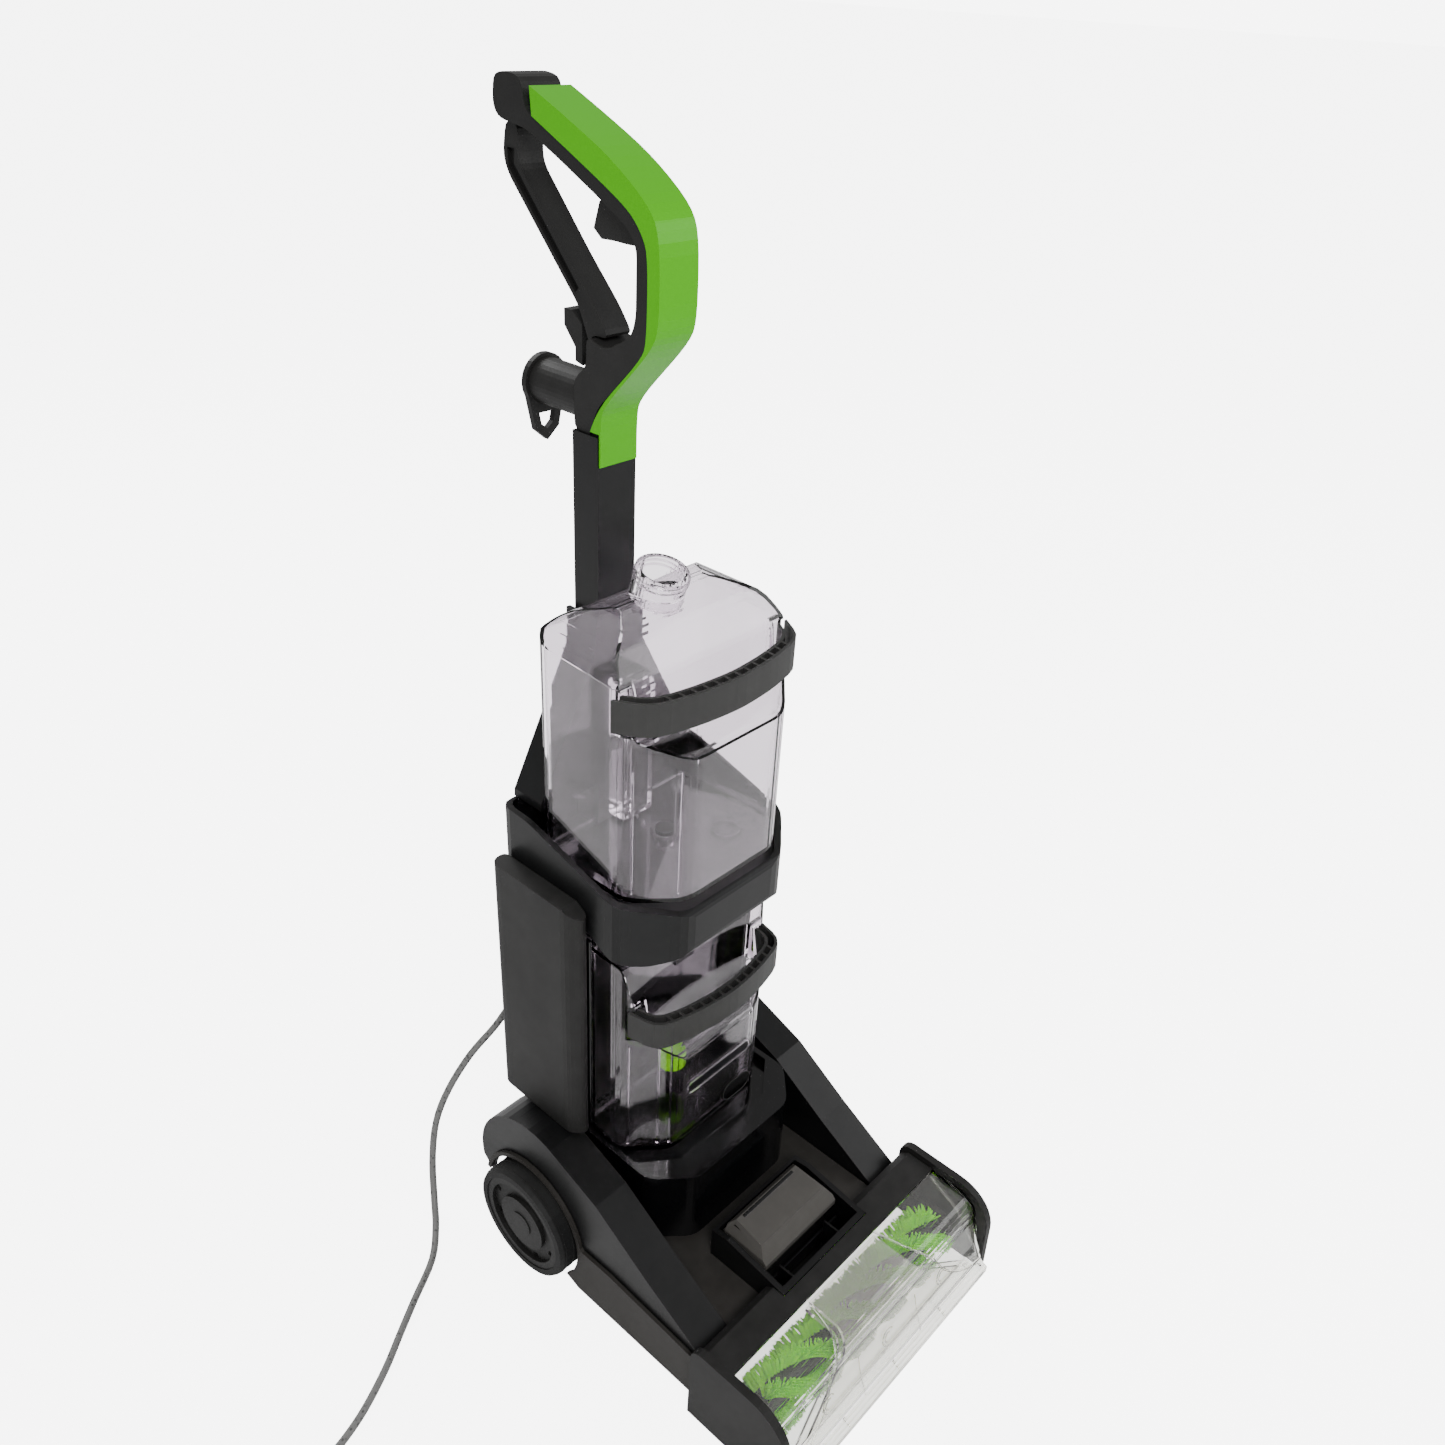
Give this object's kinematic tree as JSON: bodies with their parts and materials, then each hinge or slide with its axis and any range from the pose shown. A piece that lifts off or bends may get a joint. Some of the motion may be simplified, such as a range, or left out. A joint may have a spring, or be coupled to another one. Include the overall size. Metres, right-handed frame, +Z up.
{
  "type": "upright carpet cleaner",
  "caption": "Upright carpet cleaner with a driven brush under a clear nozzle, a dirty tank and a clean tank one above the other, and a reclining loop handle with a spray trigger.",
  "frame": {"origin": "on the floor under the middle of the machine's outline, cord left out", "axes": "+Z up along the upright, front of the machine towards -Y, wheel axle along X"},
  "size_m": [0.683, 0.4974, 1.0334],
  "materials": {
    "black": "black moulded plastic, half gloss",
    "charcoal": "dark grey moulded plastic, fine grain",
    "grey": "mid grey moulded plastic, fine grain",
    "green": "lime green gloss plastic",
    "clear_tank": "clear plastic with a smoky mauve tint",
    "clear_nozzle": "clear plastic",
    "handle_grey": "grey moulded plastic",
    "rubber": "black rubber",
    "bristle": "lime green nylon bristle",
    "steel": "plain machined steel",
    "cord": "grey sheathed cord with darker flecks"
  },
  "bodies": {
    "foot": {"base_pan": "charcoal", "left_fender": "black", "right_fender": "black", "left_skirt": "charcoal", "right_skirt": "charcoal", "deck_cover": "charcoal", "duct_frame": "black", "hose_port": "charcoal", "brush_hood": "charcoal", "left_end_cap": "charcoal", "right_end_cap": "charcoal", "nozzle_window": "clear_nozzle", "suction_duct": "clear_nozzle", "drive_belt": "rubber", "brush_motor": "steel", "left_wheel_axle": "steel", "right_wheel_axle": "steel", "spray_bar": "black", "cord_lead": "cord", "cord_coil": "cord", "mains_plug": "rubber"},
    "left_wheel": {"left_tyre": "rubber", "left_wheel_hub": "charcoal"},
    "right_wheel": {"right_tyre": "rubber", "right_wheel_hub": "charcoal"},
    "brush": {"brush_roll": "bristle", "brush_pulley": "black"},
    "motor_drive": {"motor_pulley": "steel"},
    "door": {"hose_door": "grey"},
    "upright": {"tank_seat": "black", "left_pivot_pin": "steel", "right_pivot_pin": "steel", "left_pillar": "charcoal", "right_pillar": "charcoal", "rear_housing": "black", "carry_shelf": "black", "spine_cover": "black", "pole": "black", "handle_cover": "green", "handle_frame": "charcoal", "handle_strut": "charcoal", "hose_hook": "charcoal", "cord_post": "charcoal", "lower_cord_hook": "charcoal", "vacuum_motor": "steel", "water_pump": "black", "strain_relief": "rubber"},
    "trigger": {"spray_trigger": "charcoal"},
    "rod": {"trigger_rod": "steel"},
    "cord_hook_body": {"cord_hook": "charcoal"},
    "switch": {"power_switch": "grey"},
    "fan": {"vacuum_fan": "charcoal"},
    "clean": {"clean_tank": "clear_tank", "clean_tank_handle": "handle_grey"},
    "valve": {"tank_valve": "black"},
    "dirty": {"dirty_tank": "clear_tank", "dirty_tank_handle": "handle_grey", "dirty_tank_lid": "black"},
    "float_body": {"float": "bristle"}
  },
  "joints": [
    {"name": "recline", "type": "hinge", "parent": "foot", "child": "upright", "pos_m": [0, 0.095, 0.095], "axis": [-1, 0, 0], "range_deg": [0, 45], "deforming": ["cord_lead"]},
    {"name": "left_wheel_spin", "type": "hinge", "parent": "foot", "child": "left_wheel", "pos_m": [-0.149, 0.095, 0.06], "axis": [1, 0, 0], "continuous": true},
    {"name": "right_wheel_spin", "type": "hinge", "parent": "foot", "child": "right_wheel", "pos_m": [0.149, 0.095, 0.06], "axis": [1, 0, 0], "continuous": true},
    {"name": "brush_spin", "type": "hinge", "parent": "foot", "child": "brush", "pos_m": [0, -0.188, 0.039], "axis": [1, 0, 0], "continuous": true},
    {"name": "motor_spin", "type": "hinge", "parent": "foot", "child": "motor_drive", "pos_m": [0.118, -0.101, 0.036], "axis": [1, 0, 0], "continuous": true},
    {"name": "hose_door_hinge", "type": "hinge", "parent": "foot", "child": "door", "pos_m": [0, -0.069, 0.094], "axis": [-1, 0, 0], "range_deg": [0, 40]},
    {"name": "trigger_pull", "type": "hinge", "parent": "upright", "child": "trigger", "pos_m": [0, 0.109, 0.95], "axis": [1, 0, 0], "range_deg": [0, 6], "stiffness_Nm_per_rad": 1.5, "springref_deg": -5.73},
    {"name": "trigger_rod_slide", "type": "slide", "parent": "upright", "child": "rod", "axis": [0, 0, -1], "range_m": [0, 0.003]},
    {"name": "cord_hook_swivel", "type": "hinge", "parent": "upright", "child": "cord_hook_body", "pos_m": [0, 0.222, 0.822], "axis": [0, 1, 0], "range_deg": [0, 180]},
    {"name": "power_switch_press", "type": "slide", "parent": "upright", "child": "switch", "axis": [0, -1, 0], "range_m": [0, 0.002], "stiffness_N_per_m": 400, "springref_m": -0.002},
    {"name": "vacuum_fan_spin", "type": "hinge", "parent": "upright", "child": "fan", "pos_m": [0, 0.133, 0.28], "axis": [0, 0, 1], "continuous": true},
    {"name": "clean_tank_lift", "type": "slide", "parent": "upright", "child": "clean", "axis": [0, 0, 1], "range_m": [0, 0.12]},
    {"name": "tank_valve_lift", "type": "slide", "parent": "clean", "child": "valve", "axis": [0, 0, 1], "range_m": [0, 0.004], "stiffness_N_per_m": 60, "springref_m": -0.004},
    {"name": "dirty_tank_out", "type": "slide", "parent": "upright", "child": "dirty", "axis": [0, -1, 0], "range_m": [0, 0.15]},
    {"name": "float_rise", "type": "slide", "parent": "dirty", "child": "float_body", "axis": [0, 0, 1], "range_m": [0, 0.12]}
  ],
  "couplings": [
    {"joint": "motor_spin", "follows": "brush_spin", "ratio": 2.5},
    {"joint": "trigger_rod_slide", "follows": "trigger_pull", "m_per_rad": 0.02865}
  ]
}
